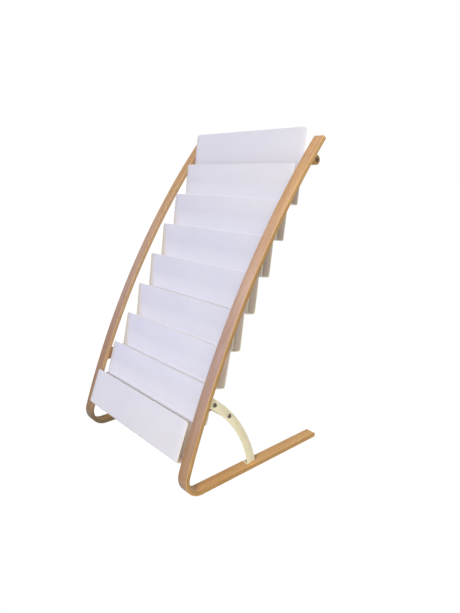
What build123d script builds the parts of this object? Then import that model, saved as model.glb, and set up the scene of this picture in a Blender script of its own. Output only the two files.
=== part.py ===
"""Brochure rack: eight sheet trays on two stepped rails, between two bent laminated side frames.

X runs across the rack, +Y points to its back and +Z up. The origin is on the floor, under the
middle of the whole rack. Millimetres and degrees.
"""
import os
from math import cos, degrees, radians, sin, sqrt

from build123d import *

os.makedirs("parts", exist_ok=True)

# Side frames: one laminated strip each, bent at the floor into a foot and a curved upright.
frame_gap = 660.0  # clear width between the two frames
frame_depth = 688.0  # from the front of the bend to the end of the foot
strip_width = 46.5
strip_thickness = 17.5
strip_round = 1.6  # rounding of the strip's long edges
bend_radius = 71.5  # outer face of the bend
upright_lean = 18.9  # from vertical, just above the bend
upright_turn = 21.95  # how much more it leans at its top
upright_radius = 3452.0  # front face of the upright

# Trays: white sheet, bent into a lip, a base and a back. Tray 1 is the top one.
tray_count = 8
tray_length = 650.0
tray_depth = 43.7  # outside, from lip to back
lip_height = 149.4
back_height = 141.5
top_back_height = 287.2  # the top tray's back is a tall panel
sheet = 4.0
sheet_bend = 8.0  # outer radius
lip_corner = 10.0  # rounding of the free corners
panel_corner = 14.0
back_corner = 6.0

# Where the trays sit: a straight row down to straight_trays, then a curl towards the front.
straight_trays = 5
seat_y, seat_z = -47.5, 469.8  # lower back corner of the last tray in the straight row
tray_pitch = 146.5
rail_lean = 29.3
tray_tilt = 8.17
tray_curl = 4.43  # added to the lean and the tilt, for each tray below the straight row

# Stepped rails under and behind the trays.
rail_place = 190.0  # from the middle of the rack
rail_thickness = 18.0
rail_web = 30.0  # wood behind the trays' lower back corners
rail_step = 104.0  # contact height behind each tray
rail_shelf = 14.0  # contact depth under each tray
rail_toe = 8.0  # wood left under the lowest tray
rail_ear = 27.0  # radius of the wood round a crossbar
rail_ear_low, rail_ear_high = 20.0, 192.0  # where the upper ear meets the top tray's back

# Crossbars, and the lugs on the backs of the uprights.
top_bar_y, top_bar_z = 297.5, 1147.0
top_bar_radius = 15.0
low_bar_y, low_bar_z = -136.5, 255.4
low_bar_radius = 12.5
low_lug_y, low_lug_z = -203.6, 319.1
lug_radius = 18.0
lug_width = 31.5
top_lug_root, low_lug_root = 43.0, 51.0  # height of each lug's joint with its upright
lug_trim = 6.0  # drawn past the upright's back face, then cut back to it
lug_bevel, bar_bevel = 1.2, 1.0
dowel_radius, dowel_length, dowel_spacing = 4.0, 30.0, 28.0

# Stays: curved flat steel from the lower lugs to the feet.
stay_thickness = 3.0
stay_flange = 30.5
stay_bend = 5.0  # outer radius of the bend into the flange
flange_corner = 6.0
stay_leg = 8.0  # height of the bend into the flange
stay_outer = [(-226.0, 360.0), (-76.0, 200.0), (-3.9, strip_thickness + stay_leg)]
stay_inner = [(-240.0, 321.5), (-90.1, 160.0), (-42.6, strip_thickness + stay_leg)]
stay_gap = 1.0  # between a stay's upper end and the upright
foot_screw_y = (-31.5, -12.0)
foot_screw_inset = 2.0  # from the flange's middle towards its free edge

# Fasteners.
bolt_radius = 4.0
bolt_clearance = 0.25
bolt_flange_radius, bolt_flange = 8.2, 1.8
bolt_head_radius, bolt_crown_radius = 6.6, 4.2
bolt_head = 5.2  # flange included
bolt_socket, socket_depth = 5.0, 3.1  # across flats
insert_radius, insert_length = 6.0, 20.0
bolt_reach = 16.0  # thread inside an insert
screw_radius = 2.0
screw_head_radius, screw_crown_radius = 4.0, 2.4
screw_rim, screw_head = 1.0, 2.4
screw_slot, recess_depth = 1.1, 1.4
tray_screw_heights = (40.0, 90.0)
tray_screw_length = 20.0
foot_screw_length = 14.0
lock_screw_length = 34.0

# Worked-out places.
inner_face = frame_gap / 2
lug_face = inner_face + lug_width
foot_end_y = frame_depth / 2
bend_y = bend_radius - frame_depth / 2
lean = radians(upright_lean)
upright_start_y = bend_y - bend_radius * cos(lean)
upright_start_z = bend_radius + bend_radius * sin(lean)
arc_y = upright_start_y + upright_radius * cos(lean)  # centre of the upright's curve
arc_z = upright_start_z - upright_radius * sin(lean)
back_face_radius = upright_radius - strip_thickness

SIDES = {"left": -1, "right": 1}
UP = (Align.CENTER, Align.CENTER, Align.MIN)  # a cylinder standing on its plane
DOWN = (Align.CENTER, Align.CENTER, Align.MAX)  # one hanging from it


def upright_back(height):
    """Y of the upright's back face at a height."""
    return arc_y - sqrt(back_face_radius**2 - (height - arc_z) ** 2)


def tray_seat(number):
    """Y, Z and tilt of a tray's lower back corner, outside the bend."""
    lift = max(straight_trays - number, 0) * tray_pitch
    y = seat_y + lift * sin(radians(rail_lean))
    z = seat_z + lift * cos(radians(rail_lean))
    curled = max(number - straight_trays, 0)
    for step in range(curled):
        step_lean = radians(rail_lean + tray_curl * (step + 0.5))
        y -= tray_pitch * sin(step_lean)
        z -= tray_pitch * cos(step_lean)
    return y, z, tray_tilt + tray_curl * curled


def tray_plane(number, across=0.0):
    """A tray's section plane: local X points behind its back, local Y up along the back."""
    y, z, tilt = tray_seat(number)
    behind = (0, cos(radians(tilt)), -sin(radians(tilt)))
    return Plane(origin=(across, y, z), x_dir=behind, z_dir=(1, 0, 0))


def section_point(number, behind, up):
    """(Y, Z) of a point given in a tray's section plane."""
    point = tray_plane(number).from_local_coords(Vector(behind, up, 0))
    return point.Y, point.Z


def drill(planes, radius, depth):
    """Blind holes in the open part, down from each plane."""
    with Locations(*planes):
        Cylinder(radius, depth, align=DOWN, mode=Mode.SUBTRACT)


def finish(part, name):
    """Label a part and write it."""
    part.label = name
    export_step(part, f"parts/{name}.step")
    print(f"{name}: {len(part.solids())} solid(s), {part.volume / 1000:.1f} cm3")


# ------------------------------------------------------------------ fastener places
def lug_bolt_plane(side, y, z, face):
    """A bolt's seat on an outer face, looking outwards along X."""
    return Plane(origin=(side * face, y, z), z_dir=(side, 0, 0))


top_bolt_planes = [lug_bolt_plane(s, top_bar_y, top_bar_z, lug_face) for s in SIDES.values()]
plate_face = lug_face + stay_thickness
lug_bolt_planes = [lug_bolt_plane(s, low_lug_y, low_lug_z, plate_face) for s in SIDES.values()]
low_bolt_planes = [lug_bolt_plane(s, low_bar_y, low_bar_z, plate_face) for s in SIDES.values()]

foot_screw_x = plate_face - stay_flange / 2 - foot_screw_inset
foot_screw_planes = [
    Plane(origin=(side * foot_screw_x, y, strip_thickness + stay_thickness))
    for side in SIDES.values()
    for y in foot_screw_y
]


def lug_dowel_planes(side, y, z):
    """Two dowels across the joint of a lug and its upright, one each side of the lug's middle."""
    x = side * (inner_face + lug_width / 2)
    centre = Vector(x, arc_y, arc_z)
    planes = []
    for along in (-dowel_spacing / 2, dowel_spacing / 2):
        to_centre = (centre - Vector(x, y, z)).rotate(Axis.X, degrees(along / back_face_radius))
        behind = to_centre.normalized()
        middle = centre - behind * (back_face_radius - dowel_length / 2)
        planes.append(Plane(origin=middle, x_dir=(1, 0, 0), z_dir=behind))
    return planes


def tray_screw_planes(number):
    """Pan-head screws on the inner face of a tray's back, one above the other at each rail."""
    planes = []
    for side in SIDES.values():
        section = tray_plane(number, side * rail_place)
        for up in tray_screw_heights:
            seat = section.from_local_coords(Vector(-sheet, up, 0))
            planes.append(Plane(origin=seat, x_dir=(1, 0, 0), z_dir=-section.x_dir))
    return planes


def lock_screw_planes(side):
    """Screws that lock a rail onto the crossbars, driven in from the rail's back edge."""
    away = Vector(0, cos(radians(rail_lean)), -sin(radians(rail_lean)))
    planes = []
    for y, z in ((top_bar_y, top_bar_z), (low_bar_y, low_bar_z)):
        seat = Vector(side * rail_place, y, z) + away * rail_ear
        planes.append(Plane(origin=seat, x_dir=(1, 0, 0), z_dir=away))
    return planes


# ------------------------------------------------------------------ side frames
for name, side in SIDES.items():
    with BuildPart() as side_frame:
        with BuildSketch(Plane.YZ.offset(side * inner_face)):
            with BuildLine():
                foot = Line((foot_end_y, 0), (bend_y, 0))
                bend = JernArc(foot @ 1, foot % 1, bend_radius, -(90 + upright_lean))
                JernArc(bend @ 1, bend % 1, upright_radius, -upright_turn)
                offset(amount=strip_thickness, side=Side.RIGHT, closed=True)
            make_face()
        extrude(amount=side * strip_width)
        fillet(side_frame.edges(), strip_round)
        for y, z in ((top_bar_y, top_bar_z), (low_lug_y, low_lug_z)):
            drill(lug_dowel_planes(side, y, z), dowel_radius, dowel_length)
        drill(foot_screw_planes, screw_radius, stay_thickness + foot_screw_length)
    finish(side_frame.part, f"{name}_side_frame")

# ------------------------------------------------------------------ lugs
LUGS = {
    "upper": (top_bar_y, top_bar_z, top_lug_root),
    "lower": (low_lug_y, low_lug_z, low_lug_root),
}
for name, side in SIDES.items():
    for level, (y, z, root) in LUGS.items():
        root_low = z - lug_radius
        root_high = root_low + root
        with BuildPart() as lug:
            with BuildSketch(Plane.YZ.offset(side * inner_face)):
                with Locations((y, z)):
                    Circle(lug_radius)
                with BuildLine():
                    Line(
                        (upright_back(root_low) - lug_trim, root_low),
                        (upright_back(root_high) - lug_trim, root_high),
                    )
                make_hull()
                with Locations((arc_y, arc_z)):
                    Circle(back_face_radius, mode=Mode.INTERSECT)
            extrude(amount=side * lug_width)
            rims = lug.faces().sort_by(Axis.X)[-1 if side > 0 else 0]
            chamfer(rims.edges().sort_by(Axis.Y)[1:], lug_bevel)
            seat = Plane(origin=(side * lug_face, y, z), z_dir=(side, 0, 0))
            if level == "upper":
                drill([seat], bolt_radius + bolt_clearance, lug_width)
            else:
                drill([seat], insert_radius, insert_length)
            drill(lug_dowel_planes(side, y, z), dowel_radius, dowel_length)
        finish(lug.part, f"{level}_{name}_lug")

# ------------------------------------------------------------------ crossbars
BARS = {
    "top_crossbar": (top_bar_y, top_bar_z, top_bar_radius, inner_face),
    "lower_crossbar": (low_bar_y, low_bar_z, low_bar_radius, lug_face),
}
for level, (name, (y, z, radius, reach)) in enumerate(BARS.items()):
    with BuildPart() as crossbar:
        with Locations(Plane(origin=(0, y, z), z_dir=(1, 0, 0))):
            Cylinder(radius, 2 * reach)
        chamfer(crossbar.edges().filter_by(GeomType.CIRCLE), bar_bevel)
        ends = [Plane(origin=(s * reach, y, z), z_dir=(s, 0, 0)) for s in SIDES.values()]
        drill(ends, insert_radius, insert_length)
        for side in SIDES.values():
            drill([lock_screw_planes(side)[level]], screw_radius, lock_screw_length)
    finish(crossbar.part, name)

# ------------------------------------------------------------------ stepped rails
front_edge = []
for number in range(tray_count, 0, -1):
    front_edge.append(section_point(number, -rail_shelf, 0))
    front_edge.append(section_point(number, 0, 0))
    front_edge.append(section_point(number, 0, rail_step))
web_middle = rail_web / 2
behind_y, behind_z = cos(radians(rail_lean)), -sin(radians(rail_lean))
web_y, web_z = rail_web * behind_y, rail_web * behind_z
top_seat = section_point(1, 0, 0)
web_top = (top_seat[0] + web_y, top_seat[1] + web_z)
web_turn = (seat_y + web_y, seat_z + web_z)
curl_radius = tray_pitch / (2 * sin(radians(tray_curl / 2))) + rail_web
curl_angle = tray_curl * (tray_count - straight_trays)
for name, side in SIDES.items():
    rail_plane = Plane.YZ.offset(side * rail_place - rail_thickness / 2)
    with BuildPart() as rail:
        with BuildSketch(rail_plane):
            with BuildLine():
                Polyline(*front_edge)
                Line(front_edge[-1], web_top)
                straight = Line(web_top, web_turn)
                curl = JernArc(straight @ 1, straight % 1, curl_radius, -curl_angle)
                toe = section_point(tray_count, rail_toe - rail_shelf, -rail_toe)
                Polyline(curl @ 1, toe, front_edge[0])
            make_face()
        with BuildSketch(rail_plane):
            with Locations((top_bar_y, top_bar_z)):
                Circle(rail_ear)
            with BuildLine():
                Polyline(
                    section_point(1, 0, rail_ear_low),
                    section_point(1, 0, rail_ear_high),
                    web_top,
                    close=True,
                )
            make_hull()
        with BuildSketch(rail_plane):
            with Locations((low_bar_y, low_bar_z)):
                Circle(rail_ear)
            with BuildLine():
                Line(section_point(7, web_middle, 0), section_point(6, web_middle, 0))
            make_hull()
        extrude(amount=rail_thickness)
        for y, z, radius, _ in BARS.values():
            with Locations(Plane(origin=(side * rail_place, y, z), z_dir=(1, 0, 0))):
                Cylinder(radius, 2 * rail_thickness, mode=Mode.SUBTRACT)
        for number in range(1, tray_count + 1):
            near = [p for p in tray_screw_planes(number) if p.origin.X * side > 0]
            drill(near, screw_radius, tray_screw_length)
        drill(lock_screw_planes(side), screw_radius, lock_screw_length)
    finish(rail.part, f"{name}_tray_rail")

# ------------------------------------------------------------------ trays
def free_corners(tray, section):
    """Short edges through a tray's sheet, from its lip's to its back's."""
    through_sheet = tray.edges().filter_by(Axis((0, 0, 0), section.x_dir))
    return through_sheet.filter_by(lambda edge: edge.length < sheet + 0.1).sort_by(Axis.Y)


for number in range(1, tray_count + 1):
    back = top_back_height if number == 1 else back_height
    section = tray_plane(number, -tray_length / 2)
    with BuildPart() as tray:
        with BuildSketch(section):
            with BuildLine():
                outside = FilletPolyline(
                    (-tray_depth, lip_height), (-tray_depth, 0), (0, 0), (0, back),
                    radius=sheet_bend,
                )
                inside = FilletPolyline(
                    (sheet - tray_depth, lip_height), (sheet - tray_depth, sheet),
                    (-sheet, sheet), (-sheet, back),
                    radius=sheet_bend - sheet,
                )
                Line(outside @ 0, inside @ 0)
                Line(outside @ 1, inside @ 1)
            make_face()
        extrude(amount=tray_length)
        fillet(free_corners(tray, section)[:2], lip_corner)
        fillet(free_corners(tray, section)[-2:], panel_corner if number == 1 else back_corner)
        drill(tray_screw_planes(number), screw_radius, 2 * sheet)
    finish(tray.part, f"tray_{number}")

# ------------------------------------------------------------------ stays
for name, side in SIDES.items():
    with BuildPart() as stay:
        with BuildSketch(Plane.YZ.offset(side * lug_face)):
            with BuildLine():
                outer = ThreePointArc(*stay_outer)
                inner = ThreePointArc(*stay_inner)
                Line(outer @ 0, inner @ 0)
                Line(outer @ 1, inner @ 1)
            make_face()
            with Locations((arc_y, arc_z)):
                Circle(back_face_radius - stay_gap, mode=Mode.INTERSECT)
        extrude(amount=side * stay_thickness)
        low_y, high_y = stay_inner[-1][0], stay_outer[-1][0]
        foot_top, leg_top = strip_thickness, strip_thickness + stay_leg
        with BuildSketch(Plane.XZ.offset(-high_y)):
            with BuildLine():
                outside = FilletPolyline(
                    (side * (plate_face - stay_flange), foot_top),
                    (side * plate_face, foot_top),
                    (side * plate_face, leg_top),
                    radius=stay_bend,
                )
                inside = FilletPolyline(
                    (side * (plate_face - stay_flange), foot_top + stay_thickness),
                    (side * lug_face, foot_top + stay_thickness),
                    (side * lug_face, leg_top),
                    radius=stay_bend - stay_thickness,
                )
                Line(outside @ 0, inside @ 0)
                Line(outside @ 1, inside @ 1)
            make_face()
        extrude(amount=high_y - low_y)
        corners = stay.edges().filter_by(Axis.Z).sort_by(Axis.X)
        fillet(corners[:2] if side > 0 else corners[-2:], flange_corner)
        drill(lug_bolt_planes + low_bolt_planes, bolt_radius + bolt_clearance, stay_thickness)
        drill(foot_screw_planes, screw_radius, stay_thickness)
    finish(stay.part, f"{name}_stay")


# ------------------------------------------------------------------ fasteners
def bolts(name, planes, length):
    """Flanged button-head socket bolts, one standing on each plane."""
    with BuildPart() as bolt:
        with Locations(*planes):
            Cylinder(bolt_flange_radius, bolt_flange, align=UP)
        with Locations(*[plane.offset(bolt_flange) for plane in planes]):
            Cone(bolt_head_radius, bolt_crown_radius, bolt_head - bolt_flange, align=UP)
        with Locations(*planes):
            Cylinder(bolt_radius, length, align=DOWN)
        with BuildSketch(*[plane.offset(bolt_head) for plane in planes]):
            RegularPolygon(bolt_socket / 2, 6, major_radius=False)
        extrude(amount=-socket_depth, mode=Mode.SUBTRACT)
    finish(bolt.part, name)


def screws(name, planes, length):
    """Pan-head cross-recess wood screws, one standing on each plane."""
    with BuildPart() as screw:
        with Locations(*planes):
            Cylinder(screw_head_radius, screw_rim, align=UP)
        with Locations(*[plane.offset(screw_rim) for plane in planes]):
            Cone(screw_head_radius, screw_crown_radius, screw_head - screw_rim, align=UP)
        with Locations(*planes):
            Cylinder(screw_radius, length, align=DOWN)
        with BuildSketch(*[plane.offset(screw_head) for plane in planes]):
            Rectangle(screw_head_radius, screw_slot)
            Rectangle(screw_slot, screw_head_radius)
        extrude(amount=-recess_depth, mode=Mode.SUBTRACT)
    finish(screw.part, name)


bolts("top_crossbar_bolts", top_bolt_planes, lug_width + bolt_reach)
bolts("lower_crossbar_bolts", low_bolt_planes, stay_thickness + bolt_reach)
bolts("lug_bolts", lug_bolt_planes, stay_thickness + bolt_reach)
all_tray_screws = [p for n in range(1, tray_count + 1) for p in tray_screw_planes(n)]
screws("tray_screws", all_tray_screws, tray_screw_length)
screws("stay_foot_screws", foot_screw_planes, foot_screw_length)

with BuildPart() as lock_screws:
    with Locations(*lock_screw_planes(-1), *lock_screw_planes(1)):
        Cylinder(screw_radius, lock_screw_length, align=DOWN)
finish(lock_screws.part, "rail_lock_screws")

with BuildPart() as inserts:
    insert_places = [p.offset(-lug_width) for p in top_bolt_planes]
    insert_places += [p.offset(-stay_thickness) for p in low_bolt_planes + lug_bolt_planes]
    with Locations(*insert_places):
        Cylinder(insert_radius, insert_length, align=DOWN)
    drill(insert_places, bolt_radius, insert_length)
finish(inserts.part, "threaded_inserts")

with BuildPart() as dowels:
    for side in SIDES.values():
        for y, z, _ in LUGS.values():
            with Locations(*lug_dowel_planes(side, y, z)):
                Cylinder(dowel_radius, dowel_length, align=DOWN)
finish(dowels.part, "lug_dowels")
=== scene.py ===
"""Looks for the brochure rack: laminated side frames, white folded trays, powder-coated stays.

Metres and degrees. X runs across the rack, +Y points to its back and +Z up. The strips, trays and
bolts are rebuilt with finer detail, the stays, lugs and rails get eased edges, and the rest keeps
its CAD mesh.
"""
from math import ceil, cos, pi, radians, sin

import bmesh
import bpy
from mathutils import Matrix, Vector


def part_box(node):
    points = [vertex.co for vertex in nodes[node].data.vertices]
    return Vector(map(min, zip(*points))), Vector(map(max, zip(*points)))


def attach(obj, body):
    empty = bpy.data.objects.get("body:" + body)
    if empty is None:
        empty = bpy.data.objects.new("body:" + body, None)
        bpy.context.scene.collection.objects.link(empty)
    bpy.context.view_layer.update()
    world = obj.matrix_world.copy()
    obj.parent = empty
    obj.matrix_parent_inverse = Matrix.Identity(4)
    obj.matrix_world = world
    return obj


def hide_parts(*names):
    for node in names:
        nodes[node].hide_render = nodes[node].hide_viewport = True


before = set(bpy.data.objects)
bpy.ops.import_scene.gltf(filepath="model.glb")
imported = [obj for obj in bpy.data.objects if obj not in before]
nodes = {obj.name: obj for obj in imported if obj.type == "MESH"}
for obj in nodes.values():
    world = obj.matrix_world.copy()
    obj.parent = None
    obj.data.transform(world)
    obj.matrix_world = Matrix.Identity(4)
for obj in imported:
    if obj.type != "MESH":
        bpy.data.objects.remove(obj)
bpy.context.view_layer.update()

# Side frames.
strip_low, strip_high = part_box("right_side_frame")
inner_x, outer_x = strip_low.x, strip_high.x
foot_end_y = strip_high.y
strip_width = outer_x - inner_x
strip_thickness = 0.0175
strip_round = 0.0016
bend_radius = 0.0715
upright_lean, upright_turn = 18.9, 21.95
upright_radius = 3.452
ply_count = 5
groove_half_width, groove_depth = 0.00015, 0.00010  # at each glue line
round_steps = 4
strip_step = 0.010
board_shift = 0.31  # so that the two strips don't share their grain

# Trays.
tray_count, straight_trays = 8, 5
tray_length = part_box("tray_1")[1].x * 2
tray_depth, lip_height, back_height, top_back_height = 0.0437, 0.1494, 0.1415, 0.2872
sheet, sheet_bend, sheet_ease = 0.004, 0.008, 0.0006
lip_corner, panel_corner, back_corner = 0.010, 0.014, 0.006
sheet_columns, corner_steps, sheet_step = 24, 9, 0.004
seat_y, seat_z = -0.0475, 0.4698
tray_pitch, rail_lean, tray_tilt, tray_curl = 0.1465, 29.3, 8.17, 4.43
rail_ply = 0.0018
LIP_OUTSIDE, BACK_OUTSIDE, INSIDE = 0.0, 0.5, 1.0  # what a sheet's points are marked with

# Bolts: flange, dome and hexagonal socket, and how far each reaches behind its head.
bolt_radius, bolt_flange_radius, bolt_flange = 0.004, 0.0082, 0.0018
bolt_head_radius, bolt_crown_radius, bolt_head = 0.0066, 0.0042, 0.0052
bolt_ease, flange_ease = 0.0003, 0.0005
bolt_socket, socket_depth = 0.005, 0.0031  # socket across flats
bolt_segments, dome_steps = 48, 8
BOLT_LENGTHS = {"top_crossbar_bolts": 0.0475, "lower_crossbar_bolts": 0.019, "lug_bolts": 0.019}

# Meshes.
weld_distance = 1e-6
smooth_below, flat_below, bevel_above = 35, 0.5, 40  # degrees between two faces
stay_ease, lug_ease, rail_ease = 0.0004, 0.0006, 0.0008  # what their sharp edges lose

# Where the tones change: heights above the floor, distances behind the origin.
tone_height = 1.25  # the tones of wood and sheet, painted light and shade by height, are spread over this height
# painted shade of the trays on the left strip fades out between these heights and these distances
# back
bend_shade_up, bend_shade_behind = (0.06, 0.15), (-0.24, -0.10)
# painted light: the right strip's edge turns lighter between these heights
lighter_edge_up = (0.85, 1.2)
# painted warm light on the trays' cut ends fades out between these heights
cream_edge_up = (0.8, 1.05)
lowest_lip_behind = -0.27  # only the lowest tray's lip lies further forward
foot_fade = 0.08  # painted reflected light: a lip is lighter below this height of its own
pocket_fade = 0.025  # depth in which a pocket's painted shade sets in, below its lip's top
# the pockets' painted shade grows darker between these heights
pocket_tone_up = (0.3, 0.8)
glow_low, glow_high = 0.050, 0.018  # painted warm light: a band at a lip's ends, its width at its foot and its top
glow_starts, glow_stops = (0.30, 0.37), (0.84, 0.96)  # the lowest and highest trays have none

PLY_TONES = ((228, 186, 126), (190, 150, 92), (212, 172, 110), (184, 144, 88), (202, 162, 102))
WHITE = (1.0, 1.0, 1.0)

# Light: direction, spread in degrees, strength and colour.
LIGHTS = {
    "top_light": ((0.1, 0.1, -1.0), 60, 0.6, (1.0, 0.99, 0.97)),
    "front_light": ((-0.42, 0.78, -0.53), 14, 1.85, (1.0, 0.985, 0.98)),
    "side_light": ((-0.87, 0.46, -0.15), 50, 1.35, (1.0, 0.99, 0.97)),
    "back_light": ((0.35, -0.85, -0.4), 60, 0.6, (1.0, 0.99, 0.97)),
}
surroundings, surroundings_strength = (0.97, 0.98, 1.0), 0.2
floor_reach = 30.0
floor_bounce, floor_seen, floor_glow = (0.75, 0.75, 0.75), (0.02, 0.02, 0.02), 0.99

# Camera.
camera_place = Vector((1.6131, -1.2291, 1.1091))
camera_yaw, camera_pitch = 48.71, 15.03
camera_lens, camera_sensor = 39.65, 36.0

SIDES = {"left": -1, "right": 1}


# ------------------------------------------------------------------ node graphs
class Graph:
    """A material's node tree, with short calls for the nodes that repeat."""

    def __init__(self, name):
        self.material = bpy.data.materials.new(name)
        self.material.use_nodes = True
        self.tree = self.material.node_tree
        self.tree.nodes.clear()
        output = self.add("ShaderNodeOutputMaterial")
        self.shader = self.add("ShaderNodeBsdfPrincipled")
        self.link(self.shader.outputs[0], output.inputs[0])

    def link(self, source, target):
        self.tree.links.new(source, target)

    def add(self, kind, **settings):
        node = self.tree.nodes.new(kind)
        for key, value in settings.items():
            setattr(node, key, value)
        return node

    def feed(self, socket, value):
        """Links a socket's value, and sets a constant directly."""
        if isinstance(value, bpy.types.NodeSocket):
            self.link(value, socket)
        else:
            socket.default_value = value

    def maths(self, operation, first, second=0.0, clamp=False):
        node = self.add("ShaderNodeMath", operation=operation, use_clamp=clamp)
        self.feed(node.inputs[0], first)
        self.feed(node.inputs[1], second)
        return node.outputs[0]

    def times(self, first, second):
        return self.maths("MULTIPLY", first, second)

    def scaled(self, vector, scale):
        node = self.add("ShaderNodeVectorMath", operation="MULTIPLY")
        self.feed(node.inputs[0], vector)
        node.inputs[1].default_value = scale
        return node.outputs[0]

    def noise(self, vector, scale, detail, roughness=0.5, distortion=0.0):
        node = self.add("ShaderNodeTexNoise")
        self.feed(node.inputs["Vector"], vector)
        node.inputs["Scale"].default_value = scale
        node.inputs["Detail"].default_value = detail
        node.inputs["Roughness"].default_value = roughness
        node.inputs["Distortion"].default_value = distortion
        return node.outputs["Fac"]

    def ramp(self, value, *stops, steps=False):
        """Colours by position: stops are (position, colour)."""
        node = self.add("ShaderNodeValToRGB")
        node.color_ramp.interpolation = "CONSTANT" if steps else "LINEAR"
        elements = node.color_ramp.elements
        while len(elements) < len(stops):
            elements.new(0.5)
        for element, (position, colour) in zip(elements, stops):
            element.position = position
            element.color = (*colour, 1.0)
        self.feed(node.inputs[0], value)
        return node.outputs[0]

    def span(self, value, low, high, out_low=0.0, out_high=1.0):
        """A value mapped in a straight line from one range to another, and held within it."""
        node = self.add("ShaderNodeMapRange")
        self.feed(node.inputs["Value"], value)
        node.inputs["From Min"].default_value = low
        node.inputs["From Max"].default_value = high
        node.inputs["To Min"].default_value = out_low
        node.inputs["To Max"].default_value = out_high
        return node.outputs[0]

    def mix(self, factor, first, second, blend="MIX"):
        node = self.add("ShaderNodeMix", data_type="RGBA", blend_type=blend)
        self.feed(node.inputs["Factor"], factor)
        colours = [entry for entry in node.inputs if entry.type == "RGBA"]
        for socket, value in zip(colours, (first, second)):
            if isinstance(value, tuple):
                value = (*value, 1.0)
            self.feed(socket, value)
        return [entry for entry in node.outputs if entry.type == "RGBA"][0]

    def tinted(self, colour, tint, amount=1.0):
        """A colour multiplied by a tint, by some amount."""
        return self.mix(amount, colour, tint, "MULTIPLY")

    def mottled(self, colour, pattern, low, high, tint, amount=1.0):
        """A colour tinted where a pattern is low, and left alone where it is high."""
        return self.tinted(colour, self.ramp(pattern, (low, tint), (high, WHITE)), amount)

    def bump(self, height, distance, strength):
        node = self.add("ShaderNodeBump")
        node.inputs["Distance"].default_value = distance
        node.inputs["Strength"].default_value = strength
        self.feed(node.inputs["Height"], height)
        self.link(node.outputs[0], self.shader.inputs["Normal"])

    def place(self):
        """Object coordinates, in metres."""
        return self.add("ShaderNodeTexCoord").outputs["Object"]

    def attribute(self, name):
        return self.add("ShaderNodeAttribute", attribute_name=name).outputs["Vector"]

    def axes(self, vector):
        """The X, Y and Z of a vector."""
        node = self.add("ShaderNodeSeparateXYZ")
        self.link(vector, node.inputs[0])
        return node.outputs

    def set(self, **sockets):
        """Feeds the shader's inputs, named as in base_color."""
        for name, value in sockets.items():
            self.feed(self.shader.inputs[name.replace("_", " ").title()], value)

    def surface(self, colour, pattern, roughness, relief, strength=0.5):
        """The finished material: one pattern gives its roughness, from low to high, and relief."""
        self.set(base_color=colour, roughness=self.span(pattern, 0.3, 0.7, *roughness))
        self.bump(pattern, relief, strength)
        return self.material


def srgb(red, green, blue):
    """A colour given as eight-bit sRGB, made linear."""
    def linear(value):
        value /= 255
        return value / 12.92 if value <= 0.04045 else ((value + 0.055) / 1.055) ** 2.4
    return linear(red), linear(green), linear(blue)


# ------------------------------------------------------------------ materials
def grain(graph, strip, stretch):
    """Two patterns that run along a board: coarse bands and fine fibres."""
    stretched = graph.scaled(strip, stretch)
    coarse = graph.noise(stretched, 26.0, detail=4.0, distortion=0.6)
    fine = graph.noise(stretched, 150.0, detail=3.0, roughness=0.65)
    return coarse, fine


def painted_tray_shade(graph):
    """Painted shade of the trays, for the left strip: 1 round the bend, low at the front of a strip,
    and 0 further up and back.
    """
    _, behind, height = graph.axes(graph.place())
    low = graph.span(height, *bend_shade_up, 1.0, 0.0)
    return graph.times(low, graph.span(behind, *bend_shade_behind, 1.0, 0.0))


def laminate_face():
    """The broad faces of the bent strips: one veneer, its grain along the strip, with painted light
    by height and painted shade under the trays.
    """
    graph = Graph("laminate_face")
    strip = graph.attribute("strip")
    across, _, depth = graph.axes(strip)
    height = graph.axes(graph.place())[2]
    coarse, fine = grain(graph, strip, (1.0, 0.035, 0.3))
    flecks = graph.noise(graph.scaled(strip, (1.0, 0.14, 0.3)), 420.0, detail=1.0)
    # painted light: the outer face is darker low down and lighter up the upright, its tone set by
    # height
    outer_side = graph.ramp(
        graph.span(height, 0.0, tone_height),
        (0.10, srgb(178, 143, 110)), (0.36, srgb(191, 163, 155)),
        (0.60, srgb(208, 176, 156)), (0.85, srgb(215, 173, 127)),
    )
    inside = graph.span(depth, 0.4 * strip_thickness, 0.6 * strip_thickness)
    colour = graph.mix(inside, outer_side, srgb(226, 175, 106))
    left_tint = graph.ramp(
        height,
        (0.0, srgb(236, 230, 222)), (0.45, srgb(234, 229, 216)),
        (0.60, srgb(236, 235, 236)), (1.0, srgb(242, 246, 250)),
    )
    # painted shade of the trays on the left strip's face, round its bend
    left_tint = graph.mix(painted_tray_shade(graph), left_tint, srgb(192, 196, 204))
    left_board = graph.maths("LESS_THAN", across, 0.0)
    colour = graph.mix(left_board, colour, graph.tinted(colour, left_tint))
    colour = graph.mottled(colour, coarse, 0.3, 0.7, srgb(233, 226, 222))
    colour = graph.mottled(colour, fine, 0.30, 0.55, srgb(226, 210, 198), 0.8)
    colour = graph.mottled(colour, flecks, 0.30, 0.42, srgb(226, 206, 188), 0.7)
    graph.set(coat_weight=0.15, coat_roughness=0.3)
    return graph.surface(colour, fine, (0.42, 0.52), 0.00012)


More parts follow.
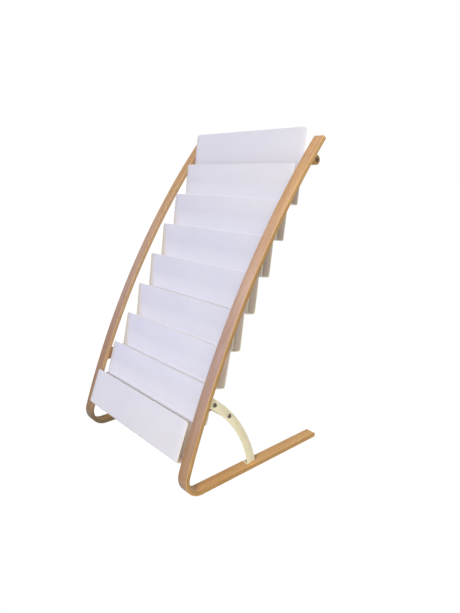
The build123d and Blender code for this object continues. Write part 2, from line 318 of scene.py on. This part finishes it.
def laminate_edge():
    """The strips' sanded edges: each ply cut through, with thin dark glue lines between."""
    graph = Graph("laminate_edge")
    strip = graph.attribute("strip")
    across, _, depth = graph.axes(strip)
    height = graph.axes(graph.place())[2]
    coarse, fine = grain(graph, strip, (0.3, 0.05, 1.0))
    ply = graph.times(depth, ply_count / strip_thickness)
    stops = [(number / ply_count, srgb(*tone)) for number, tone in enumerate(PLY_TONES)]
    colour = graph.ramp(graph.maths("DIVIDE", ply, ply_count), *stops, steps=True)
    into_ply = graph.maths("PINGPONG", ply, 0.5)
    colour = graph.mottled(colour, into_ply, 0.04, 0.14, srgb(150, 120, 84), 0.35)
    colour = graph.mottled(colour, fine, 0.3, 0.6, srgb(214, 200, 182), 0.8)
    colour = graph.mottled(colour, coarse, 0.35, 0.65, srgb(232, 222, 206), 0.6)
    left = graph.mix(0.5, colour, srgb(203, 179, 142))
    # painted shade of the trays on the left strip's edge, round its bend
    left_tint = graph.mix(painted_tray_shade(graph), srgb(243, 235, 231), srgb(160, 160, 160))
    left = graph.tinted(left, left_tint)
    # painted light: the right strip's edge is lighter towards its top
    lighter = graph.span(height, *lighter_edge_up, 0.0, 0.25)
    right = graph.mix(lighter, colour, srgb(255, 216, 154))
    left_board = graph.maths("LESS_THAN", across, 0.0)
    colour = graph.mix(left_board, right, left)
    return graph.surface(colour, fine, (0.5, 0.62), 0.0001)


def solid_wood(name, dark, light, stretch):
    """Clear lacquered wood whose grain runs along the axis with the smallest stretch."""
    graph = Graph(name)
    stretched = graph.scaled(graph.place(), stretch)
    rings = graph.noise(stretched, 40.0, detail=5.0, distortion=0.8)
    fine = graph.noise(stretched, 360.0, detail=2.0, roughness=0.6)
    colour = graph.ramp(rings, (0.30, dark), (0.70, light))
    colour = graph.mottled(colour, fine, 0.32, 0.58, srgb(216, 200, 184), 0.8)
    return graph.surface(colour, fine, (0.42, 0.55), 0.00012)


def rail_plywood():
    """Birch plywood: plies stacked across the rack, pale faces with long soft grain."""
    graph = Graph("rail_plywood")
    place = graph.place()
    ply = graph.times(graph.axes(place)[0], 1 / rail_ply)
    into_ply = graph.maths("PINGPONG", ply, 0.5)
    every_other = graph.maths("MODULO", graph.maths("ABSOLUTE", graph.maths("FLOOR", ply)), 2.0)
    normal = graph.axes(graph.add("ShaderNodeNewGeometry").outputs["Normal"])[0]
    on_face = graph.span(graph.maths("ABSOLUTE", normal), 0.6, 0.8)
    rings = graph.noise(graph.scaled(place, (1.0, 0.25, 0.08)), 30.0, detail=5.0, distortion=1.0)
    fine = graph.noise(graph.scaled(place, (1.0, 0.4, 0.1)), 260.0, detail=2.0)
    face = graph.ramp(rings, (0.3, srgb(205, 172, 130)), (0.7, srgb(226, 198, 158)))
    edge = graph.mix(every_other, srgb(212, 178, 132), srgb(172, 132, 88))
    edge = graph.mottled(edge, into_ply, 0.05, 0.16, srgb(130, 100, 70), 0.8)
    colour = graph.mix(on_face, edge, face)
    colour = graph.mottled(colour, fine, 0.32, 0.58, srgb(226, 212, 196), 0.7)
    return graph.surface(colour, fine, (0.5, 0.6), 0.0001)


def painted_pocket_shade(graph, up, height, face):
    """Where the inside of a pocket lies deep, and its tone, darker in the higher trays: painted shade
    with warm bounce light.
    """
    inside = graph.maths("GREATER_THAN", face, (BACK_OUTSIDE + INSIDE) / 2)
    deep = graph.span(up, lip_height - pocket_fade, lip_height, 1.0, 0.0)
    raised = graph.span(height, *pocket_tone_up)
    return graph.times(inside, deep), graph.mix(raised, srgb(252, 241, 228), srgb(228, 218, 206))


def painted_end_light(graph, across, up, height, face):
    """Where painted warm light stands for light coming through the ends of a lip, on the trays half
    way up.
    """
    from_end = graph.maths("SUBTRACT", tray_length / 2, graph.maths("ABSOLUTE", across))
    width = graph.span(up, 0.0, lip_height, glow_low, glow_high)
    glow = graph.maths("SUBTRACT", 1.0, graph.maths("DIVIDE", from_end, width, clamp=True))
    half_way_up = graph.times(
        graph.span(height, *glow_starts), graph.span(height, *glow_stops, 1.0, 0.0),
    )
    on_lip = graph.maths("LESS_THAN", face, (LIP_OUTSIDE + BACK_OUTSIDE) / 2)
    return graph.times(glow, graph.times(half_way_up, on_lip))


def white_sheet():
    """Satin opal sheet: fine texture, faint clouds, and painted light and shade: tone by height,
    darker left ends, lighter feet and bends, tinted pockets and warm ends.
    """
    graph = Graph("white_sheet")
    place = graph.place()
    _, behind, height = graph.axes(place)
    across, up, face = graph.axes(graph.attribute("sheet"))
    clouds = graph.noise(place, 5.0, detail=2.0)
    pebble = graph.noise(place, 900.0, detail=2.0, roughness=0.6)
    scuffs = graph.noise(graph.scaled(place, (1.0, 1.0, 0.3)), 60.0, detail=4.0, roughness=0.7)
    # painted light and shade: the sheet's tone varies with height to follow how each tray is lit
    colour = graph.ramp(
        graph.span(height, 0.0, tone_height),
        (0.16, srgb(223, 221, 227)), (0.30, srgb(224, 224, 238)),
        (0.66, srgb(224, 224, 237)), (0.84, srgb(230, 228, 235)),
    )
    colour = graph.mottled(colour, clouds, 0.3, 0.7, srgb(250, 250, 253))
    # painted shade: each tray is darker and cooler towards its left end
    from_left = graph.span(across, -tray_length / 2, tray_length / 2)
    colour = graph.mottled(colour, from_left, 0.0, 1.0, srgb(244, 245, 251))
    # painted reflected light: lips lighter towards their feet, all but the lowest tray's
    raised = graph.maths("GREATER_THAN", behind, lowest_lip_behind)
    foot = graph.times(raised, graph.span(up, 0.0, foot_fade, 1.0, 0.0))
    colour = graph.mix(foot, colour, srgb(240, 241, 254))
    # painted light: the bend at a lip's foot turns white, all but the lowest tray's
    bend = graph.times(raised, graph.span(up, 0.0, 1.5 * sheet_bend, 1.0, 0.0))
    colour = graph.mix(bend, colour, WHITE)
    # painted shade and warm bounce light inside the pockets
    pocket, pocket_tone = painted_pocket_shade(graph, up, height, face)
    colour = graph.mix(pocket, colour, pocket_tone)
    # painted warm light at the ends of the lips
    glow = painted_end_light(graph, across, up, height, face)
    colour = graph.mix(glow, colour, srgb(220, 211, 192))
    colour = graph.mottled(colour, pebble, 0.35, 0.6, srgb(248, 248, 250))
    graph.set(base_color=colour, roughness=graph.span(scuffs, 0.3, 0.75, 0.36, 0.48))
    graph.bump(pebble, 0.00006, 0.4)
    return graph.material


def sheet_edge():
    """The sheet's cut edges: sawn and scraped, white, and cream at the ends of the lower trays, the
    cream painted warm light.
    """
    graph = Graph("sheet_edge")
    place = graph.place()
    saw = graph.noise(place, 700.0, detail=2.0)
    across = graph.maths("ABSOLUTE", graph.axes(graph.attribute("sheet"))[0])
    at_end = graph.maths("GREATER_THAN", across, tray_length / 2 - back_corner)
    # painted warm light: the cut ends are cream, fading in the higher trays
    painted_warm_light = graph.span(graph.axes(place)[2], *cream_edge_up, 1.0, 0.2)
    cream = graph.ramp(saw, (0.3, srgb(232, 224, 200)), (0.7, srgb(243, 237, 218)))
    white = graph.ramp(saw, (0.3, srgb(242, 240, 246)), (0.7, srgb(250, 248, 252)))
    colour = graph.mix(graph.times(at_end, painted_warm_light), white, cream)
    return graph.surface(colour, saw, (0.45, 0.6), 0.00008, 0.4)


def powder_coat():
    """Cream powder coat over steel: fine orange peel, with a painted highlight on its edges."""
    graph = Graph("powder_coat")
    place = graph.place()
    peel = graph.noise(place, 420.0, detail=2.0)
    clouds = graph.noise(place, 18.0, detail=3.0)
    edges = graph.add("ShaderNodeNewGeometry").outputs["Pointiness"]
    colour = graph.ramp(clouds, (0.3, srgb(228, 219, 182)), (0.7, srgb(236, 227, 192)))
    # painted highlight along the edges
    colour = graph.mix(graph.span(edges, 0.54, 0.62, 0.0, 0.35), colour, srgb(244, 240, 222))
    return graph.surface(colour, peel, (0.34, 0.46), 0.00012)


def dark_steel():
    """Blackened steel, with a painted highlight on its high edges."""
    graph = Graph("dark_steel")
    cloud = graph.noise(graph.place(), 240.0, detail=4.0)
    edges = graph.add("ShaderNodeNewGeometry").outputs["Pointiness"]
    colour = graph.ramp(cloud, (0.3, srgb(98, 88, 78)), (0.7, srgb(122, 112, 100)))
    # painted highlight on the high edges
    colour = graph.mix(graph.span(edges, 0.52, 0.6, 0.0, 0.6), colour, srgb(186, 178, 166))
    graph.set(metallic=0.7)
    return graph.surface(colour, cloud, (0.3, 0.45), 0.00004, 0.4)


def zinc_steel():
    """Zinc-plated steel with a soft crystalline cloud."""
    graph = Graph("zinc_steel")
    cloud = graph.noise(graph.place(), 300.0, detail=4.0)
    colour = graph.ramp(cloud, (0.3, srgb(170, 172, 174)), (0.7, srgb(200, 200, 198)))
    graph.set(metallic=1.0)
    return graph.surface(colour, cloud, (0.25, 0.4), 0.00003, 0.4)


LAMINATE_FACE = laminate_face()
LAMINATE_EDGE = laminate_edge()
UPPER_LUG_WOOD = solid_wood(
    "upper_lug_wood", srgb(178, 135, 80), srgb(214, 175, 116), (1.0, 0.35, 0.35),
)
# the lugs come in a lighter and a darker copy of one wood; the darker one, for the lower lugs, is
# painted shade
SHADED_LUG_WOOD = solid_wood(
    "shaded_lug_wood", srgb(142, 102, 64), srgb(168, 126, 84), (1.0, 0.35, 0.35),
)
BAR_WOOD = solid_wood("bar_wood", srgb(150, 106, 66), srgb(190, 146, 98), (0.06, 1.0, 1.0))
DOWEL_WOOD = solid_wood("dowel_wood", srgb(200, 166, 122), srgb(222, 192, 150), (1.0, 0.1, 1.0))
RAIL_PLYWOOD = rail_plywood()
WHITE_SHEET = white_sheet()
SHEET_EDGE = sheet_edge()
POWDER_COAT = powder_coat()
DARK_STEEL = dark_steel()
ZINC_STEEL = zinc_steel()


# ------------------------------------------------------------------ mesh helpers
def add_piece(mesh, slot, node, *materials):
    """An object for a finished mesh, riding on the rack and standing for a CAD node."""
    piece = bpy.data.objects.new(mesh.name, mesh)
    bpy.context.scene.collection.objects.link(piece)
    for material in materials:
        mesh.materials.append(material)
    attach(piece, "root")
    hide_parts(node)


def finish_mesh(bm, name):
    """Clean, outward-facing mesh from a bmesh, smooth except at sharp corners."""
    bmesh.ops.remove_doubles(bm, verts=bm.verts, dist=weld_distance)
    bmesh.ops.recalc_face_normals(bm, faces=bm.faces)
    for edge in bm.edges:
        if len(edge.link_faces) == 2:
            edge.smooth = edge.calc_face_angle(0.0) < radians(smooth_below)
    for face in bm.faces:
        face.smooth = True
    mesh = bpy.data.meshes.new(name)
    bm.to_mesh(mesh)
    bm.free()
    return mesh


# ------------------------------------------------------------------ side frames
bend_y = bend_radius - foot_end_y
lean, turn = radians(upright_lean), radians(upright_turn)
start_y = bend_y - bend_radius * cos(lean)
start_z = bend_radius + bend_radius * sin(lean)
arc_y = start_y + upright_radius * cos(lean)
arc_z = start_z - upright_radius * sin(lean)
foot_length = foot_end_y - bend_y
bend_length = bend_radius * (pi / 2 + lean)
upright_length = upright_radius * turn
strip_length = foot_length + bend_length + upright_length


def strip_station(along):
    """Outer-face point and inward normal, as (Y, Z) pairs, at a length along the strip."""
    if along < foot_length:
        return (foot_end_y - along, 0.0), (0.0, 1.0)
    along -= foot_length
    if along < bend_length:
        angle = along / bend_radius
        y, z = bend_y - bend_radius * sin(angle), bend_radius * (1 - cos(angle))
        return (y, z), (sin(angle), cos(angle))
    angle = lean + (along - bend_length) / upright_radius
    y, z = arc_y - upright_radius * cos(angle), arc_z + upright_radius * sin(angle)
    return (y, z), (cos(angle), -sin(angle))


def glue_grooves(sign, edge):
    """Section points of the grooves in a sanded edge, which lies at -edge or +edge by its sign."""
    points = []
    lines = [strip_thickness * number / ply_count for number in range(1, ply_count)]
    for line in lines[::sign]:
        for offset, groove in ((-1, 0.0), (0, groove_depth), (1, 0.0)):
            points.append((sign * (edge - groove), line + sign * offset * groove_half_width, True))
    return points


def strip_section(inset):
    """Closed outline of the strip's section as (across, depth, on_edge), shrunk by inset."""
    half = strip_width / 2
    corner = strip_round - inset
    centres = (
        (half - strip_round, strip_round),
        (half - strip_round, strip_thickness - strip_round),
        (strip_round - half, strip_thickness - strip_round),
        (strip_round - half, strip_round),
    )
    outline = []
    for index, (across, depth) in enumerate(centres):
        for step in range(round_steps + 1):
            angle = pi / 2 * (index - 1 + step / round_steps)
            on_edge = abs(cos(angle)) > 0.7  # the half of the corner that joins the edge
            outline.append((across + corner * cos(angle), depth + corner * sin(angle), on_edge))
        if index == 0:
            outline += glue_grooves(1, half - inset)
        elif index == 2:
            outline += glue_grooves(-1, half - inset)
    return outline


def build_side_frame(node, side):
    """One bent strip, swept from the foot's end to the upright's top, its ends rounded."""
    bm = bmesh.new()
    layer = bm.verts.layers.float_vector.new("strip")
    centre_x = side * (inner_x + outer_x) / 2
    angles = [pi / 2 * step / round_steps for step in range(round_steps + 1)]
    ends = [(strip_round * (1 - cos(angle)), strip_round * (1 - sin(angle))) for angle in angles]
    body = strip_length - 2 * strip_round
    count = ceil(body / strip_step)
    marks = ends + [(strip_round + body * k / count, 0.0) for k in range(1, count)]
    marks += [(strip_length - along, inset) for along, inset in reversed(ends)]
    rings = []
    for along, inset in marks:
        (y, z), (normal_y, normal_z) = strip_station(along)
        ring = []
        for across, depth, _ in strip_section(inset):
            place = (centre_x + across, y + depth * normal_y, z + depth * normal_z)
            vert = bm.verts.new(place)
            vert[layer] = (across + side * board_shift, along, depth)
            ring.append(vert)
        rings.append(ring)
    flags = [on_edge for _, _, on_edge in strip_section(0.0)]
    for first, second in zip(rings, rings[1:]):
        for k, on_edge in enumerate(flags):
            following = (k + 1) % len(flags)
            corners = (first[k], first[following], second[following], second[k])
            bm.faces.new(corners).material_index = int(on_edge and flags[following])
    for ring in (rings[0], rings[-1]):
        bm.faces.new(ring).material_index = 1
    mesh = finish_mesh(bm, f"{node}_strip")
    add_piece(mesh, "laminate", node, LAMINATE_FACE, LAMINATE_EDGE)


for side_name, side in SIDES.items():
    build_side_frame(f"{side_name}_side_frame", side)


# ------------------------------------------------------------------ trays
def tray_seat(number):
    """Y, Z and tilt of a tray's lower back corner, outside the bend."""
    lift = max(straight_trays - number, 0) * tray_pitch
    y = seat_y + lift * sin(radians(rail_lean))
    z = seat_z + lift * cos(radians(rail_lean))
    curled = max(number - straight_trays, 0)
    for step in range(curled):
        step_lean = radians(rail_lean + tray_curl * (step + 0.5))
        y -= tray_pitch * sin(step_lean)
        z -= tray_pitch * cos(step_lean)
    return y, z, radians(tray_tilt + tray_curl * curled)


def tray_frame(number):
    """Matrix from a tray's own axes (across, behind its back, up its back) to the rack's."""
    y, z, tilt = tray_seat(number)
    axes = Matrix(((1, 0, 0), (0, cos(tilt), sin(tilt)), (0, -sin(tilt), cos(tilt))))
    return Matrix.Translation((0, y, z)) @ axes.to_4x4()


def fold_station(along):
    """Outer-face point and inward normal (behind, up) at a length along the folded sheet."""
    bend = sheet_bend * pi / 2
    lip, base = lip_height - sheet_bend, tray_depth - 2 * sheet_bend
    front, back = sheet_bend - tray_depth, -sheet_bend
    if along <= lip:
        return (-tray_depth, lip_height - along), (1, 0)
    along -= lip
    if along <= bend:
        angle = along / sheet_bend
        behind, up = front - sheet_bend * cos(angle), sheet_bend - sheet_bend * sin(angle)
        return (behind, up), (cos(angle), sin(angle))
    along -= bend
    if along <= base:
        return (front + along, 0.0), (0, 1)
    along -= base
    if along <= bend:
        angle = along / sheet_bend
        behind, up = back + sheet_bend * sin(angle), sheet_bend - sheet_bend * cos(angle)
        return (behind, up), (-sin(angle), cos(angle))
    return (0.0, along - bend + sheet_bend), (-1, 0)


def sheet_grid(bm, place, marks, depth):
    """Points of one face of a folded sheet, at a depth in it, inside its eased outline."""
    layer = bm.verts.layers.float_vector["sheet"]
    grid = []
    for along, cut in marks:
        half = tray_length / 2 - cut
        (behind, up), (normal_behind, normal_up) = fold_station(along)
        behind, up = behind + normal_behind * depth, up + normal_up * depth
        if depth > 0:
            face = INSIDE
        elif along < lip_height:
            face = LIP_OUTSIDE
        else:
            face = BACK_OUTSIDE
        row = []
        for column in range(sheet_columns + 1):
            x = half * (2 * column / sheet_columns - 1)
            vert = bm.verts.new(place @ Vector((x, behind, up)))
            vert[layer] = (x, up, face)
            row.append(vert)
        grid.append(row)
    return grid


def grid_rim(grid):
    """The points round a grid, once."""
    rim = grid[0][:-1] + [row[-1] for row in grid[:-1]]
    return rim + grid[-1][:0:-1] + [row[0] for row in grid[:0:-1]]


def corner_marks(radius):
    """Lengths from a free edge, and how much each row is cut short, round a corner."""
    angles = [pi / 2 * step / corner_steps for step in range(corner_steps + 1)]
    reach = radius - sheet_ease
    return [(radius - reach * cos(angle), radius - reach * sin(angle)) for angle in angles]


def close_edge(bm, outer_rim, inner_rim):
    """The sheet's cut edge, all round between its two faces, with eased arrises."""
    layer = bm.verts.layers.float_vector["sheet"]
    size = len(outer_rim)
    rings = [outer_rim]
    round_depth, round_reach = 1 - cos(pi / 4), sin(pi / 4)
    profile = (
        (round_depth * sheet_ease, round_reach * sheet_ease),
        (sheet_ease, sheet_ease),
        (sheet - sheet_ease, sheet_ease),
        (sheet - round_depth * sheet_ease, round_reach * sheet_ease),
    )
    for depth, outwards in profile:
        ring = []
        for k, vert in enumerate(outer_rim):
            through = (inner_rim[k].co - vert.co).normalized()
            tangent = outer_rim[(k + 1) % size].co - outer_rim[k - 1].co
            outward = tangent.normalized().cross(through)
            eased = bm.verts.new(vert.co + through * depth + outward * outwards)
            eased[layer] = vert[layer]
            ring.append(eased)
        rings.append(ring)
    rings.append(inner_rim)
    for first, second in zip(rings, rings[1:]):
        for k in range(size):
            following = (k + 1) % size
            corners = (first[k], first[following], second[following], second[k])
            bm.faces.new(corners).material_index = 1


def build_tray(number):
    """One sheet folded into lip, base and back, with round free corners and eased edges."""
    back, corner = (top_back_height, panel_corner) if number == 1 else (back_height, back_corner)
    length = lip_height + tray_depth + back - 4 * sheet_bend + pi * sheet_bend
    middle = length - lip_corner - corner
    count = ceil(middle / sheet_step)
    marks = corner_marks(lip_corner)
    marks += [(lip_corner + middle * k / count, sheet_ease) for k in range(1, count)]
    marks += [(length - along, cut) for along, cut in reversed(corner_marks(corner))]
    bm = bmesh.new()
    bm.verts.layers.float_vector.new("sheet")
    place = tray_frame(number)
    outside = sheet_grid(bm, place, marks, 0.0)
    inside = sheet_grid(bm, place, marks, sheet)
    for grid in (outside, inside):
        for first, second in zip(grid, grid[1:]):
            for k in range(sheet_columns):
                bm.faces.new((first[k], first[k + 1], second[k + 1], second[k]))
    close_edge(bm, grid_rim(outside), grid_rim(inside))
    mesh = finish_mesh(bm, f"tray_{number}_sheet")
    add_piece(mesh, "white_sheet", f"tray_{number}", WHITE_SHEET, SHEET_EDGE)


for tray_number in range(1, tray_count + 1):
    build_tray(tray_number)


# ------------------------------------------------------------------ bolts
def hexagon_radius(angle):
    """Radius of the socket's hexagon at an angle round it."""
    return bolt_socket / 2 / cos((angle + pi / 6) % (pi / 3) - pi / 6)


def turned(bm, centre, side, rings):
    """A solid turned about X: rings are (radius, height along X), None for the socket's hexagon."""
    angles = [2 * pi * k / bolt_segments for k in range(bolt_segments)]
    loops = []
    for radius, height in rings:
        loop = []
        for angle in angles:
            reach = hexagon_radius(angle) if radius is None else radius
            offset = Vector((side * height, reach * cos(angle), reach * sin(angle)))
            loop.append(bm.verts.new(centre + offset))
        loops.append(loop)
    for first, second in zip(loops, loops[1:]):
        for k in range(bolt_segments):
            following = (k + 1) % bolt_segments
            bm.faces.new((first[k], first[following], second[following], second[k]))
    for loop in (loops[0], loops[-1]):
        bm.faces.new(loop)


def build_bolts(node):
    """The flanged button-head bolts of a node, one at each side of the rack."""
    low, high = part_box(node)
    seat = high.x - bolt_head
    rim = bolt_flange_radius
    dome, rise = bolt_head_radius - bolt_crown_radius, bolt_head - bolt_flange
    rings = [(bolt_radius, -BOLT_LENGTHS[node]), (bolt_radius, 0.0), (rim - bolt_ease, 0.0)]
    rings += [(rim, bolt_ease), (rim, bolt_flange - flange_ease), (rim - flange_ease, bolt_flange)]
    rings.append((bolt_head_radius + bolt_ease, bolt_flange))
    for step in range(dome_steps + 1):
        angle = pi / 2 * step / dome_steps
        rings.append((bolt_crown_radius + dome * cos(angle), bolt_flange + rise * sin(angle)))
    rings += [(None, bolt_head), (None, bolt_head - socket_depth)]
    bm = bmesh.new()
    for side in SIDES.values():
        centre = Vector((side * seat, (low.y + high.y) / 2, (low.z + high.z) / 2))
        turned(bm, centre, side, rings)
    mesh = finish_mesh(bm, f"{node}_turned")
    add_piece(mesh, "dark_steel", node, DARK_STEEL)


for bolt_node in BOLT_LENGTHS:
    build_bolts(bolt_node)


# ------------------------------------------------------------------ eased copies of CAD shapes
def ease_edges(node, slot, ease, material):
    """A copy of a node's shape with its sharp edges rounded off a little."""
    bm = bmesh.new()
    bm.from_mesh(nodes[node].data)
    bm.transform(nodes[node].matrix_world)
    bmesh.ops.remove_doubles(bm, verts=bm.verts, dist=weld_distance)
    bmesh.ops.dissolve_limit(bm, angle_limit=radians(flat_below), verts=bm.verts, edges=bm.edges)
    sharp = [
        edge for edge in bm.edges
        if len(edge.link_faces) == 2 and edge.calc_face_angle(0.0) > radians(bevel_above)
    ]
    bmesh.ops.bevel(
        bm, geom=sharp, offset=ease, offset_type="OFFSET", segments=2, profile=0.5,
        affect="EDGES", clamp_overlap=True,
    )
    mesh = finish_mesh(bm, f"{node}_eased")
    add_piece(mesh, slot, node, material)


for side_name in SIDES:
    ease_edges(f"{side_name}_stay", "cream_steel", stay_ease, POWDER_COAT)
    ease_edges(f"upper_{side_name}_lug", "lug_wood", lug_ease, UPPER_LUG_WOOD)
    # the lower lugs take the darker copy of the lug wood: painted shade
    ease_edges(f"lower_{side_name}_lug", "lug_wood", lug_ease, SHADED_LUG_WOOD)
    ease_edges(f"{side_name}_tray_rail", "rail_ply", rail_ease, RAIL_PLYWOOD)


# ------------------------------------------------------------------ nodes that keep their mesh
KEPT = {
    "top_crossbar": BAR_WOOD,
    "lower_crossbar": BAR_WOOD,
    "stay_foot_screws": DARK_STEEL,
    "tray_screws": ZINC_STEEL,
    "rail_lock_screws": ZINC_STEEL,
    "threaded_inserts": ZINC_STEEL,
    "lug_dowels": DOWEL_WOOD,
}
for node_name, material in KEPT.items():
    for material_slot in nodes[node_name].material_slots:
        material_slot.material = material


# ------------------------------------------------------------------ floor, light and camera
def build_floor():
    """Plain white floor: the camera sees its own glow, and the rack the light it throws back."""
    mesh = bpy.data.meshes.new("floor")
    corners = [(x * floor_reach, y * floor_reach, 0) for x, y in ((-1, -1), (1, -1), (1, 1), (-1, 1))]
    mesh.from_pydata(corners, [], [(0, 1, 2, 3)])
    floor = bpy.data.objects.new("floor", mesh)
    bpy.context.scene.collection.objects.link(floor)
    graph = Graph("floor_paint")
    seen = graph.add("ShaderNodeLightPath").outputs["Is Camera Ray"]
    graph.set(
        base_color=graph.mix(seen, floor_bounce, floor_seen), roughness=0.9,
        emission_color=(*WHITE, 1.0), emission_strength=graph.times(seen, floor_glow),
    )
    mesh.materials.append(graph.material)


def add_sun(name, direction, spread, strength, colour):
    """A distant light that shines along a direction, spread over an angle."""
    light = bpy.data.lights.new(name, "SUN")
    light.angle = radians(spread)
    light.energy = strength
    light.color = colour
    lamp = bpy.data.objects.new(name, light)
    bpy.context.scene.collection.objects.link(lamp)
    lamp.rotation_euler = Vector(direction).to_track_quat("-Z", "Y").to_euler()


def build_light():
    """Four soft distant lights, in even surroundings that look white."""
    world = bpy.data.worlds.new("studio")
    bpy.context.scene.world = world
    world.use_nodes = True
    tree = world.node_tree
    tree.nodes.clear()
    output = tree.nodes.new("ShaderNodeOutputWorld")
    seen, fill = tree.nodes.new("ShaderNodeBackground"), tree.nodes.new("ShaderNodeBackground")
    seen.inputs["Color"].default_value = (*WHITE, 1.0)
    seen.inputs["Strength"].default_value = 1.0
    fill.inputs["Color"].default_value = (*surroundings, 1.0)
    fill.inputs["Strength"].default_value = surroundings_strength
    choice = tree.nodes.new("ShaderNodeMixShader")
    path = tree.nodes.new("ShaderNodeLightPath")
    tree.links.new(path.outputs["Is Camera Ray"], choice.inputs[0])
    tree.links.new(fill.outputs[0], choice.inputs[1])
    tree.links.new(seen.outputs[0], choice.inputs[2])
    tree.links.new(choice.outputs[0], output.inputs[0])
    for name, (direction, spread, strength, colour) in LIGHTS.items():
        add_sun(name, direction, spread, strength, colour)


def build_camera():
    """The camera, without roll, looking down on the rack from its front right."""
    data = bpy.data.cameras.new("camera")
    data.lens = camera_lens
    data.sensor_width = camera_sensor
    data.sensor_fit = "HORIZONTAL"
    camera = bpy.data.objects.new("camera", data)
    bpy.context.scene.collection.objects.link(camera)
    camera.location = camera_place
    camera.rotation_euler = (radians(90 - camera_pitch), 0, radians(camera_yaw))
    bpy.context.scene.camera = camera


build_floor()
build_light()
build_camera()
bpy.context.scene.view_settings.view_transform = "Standard"
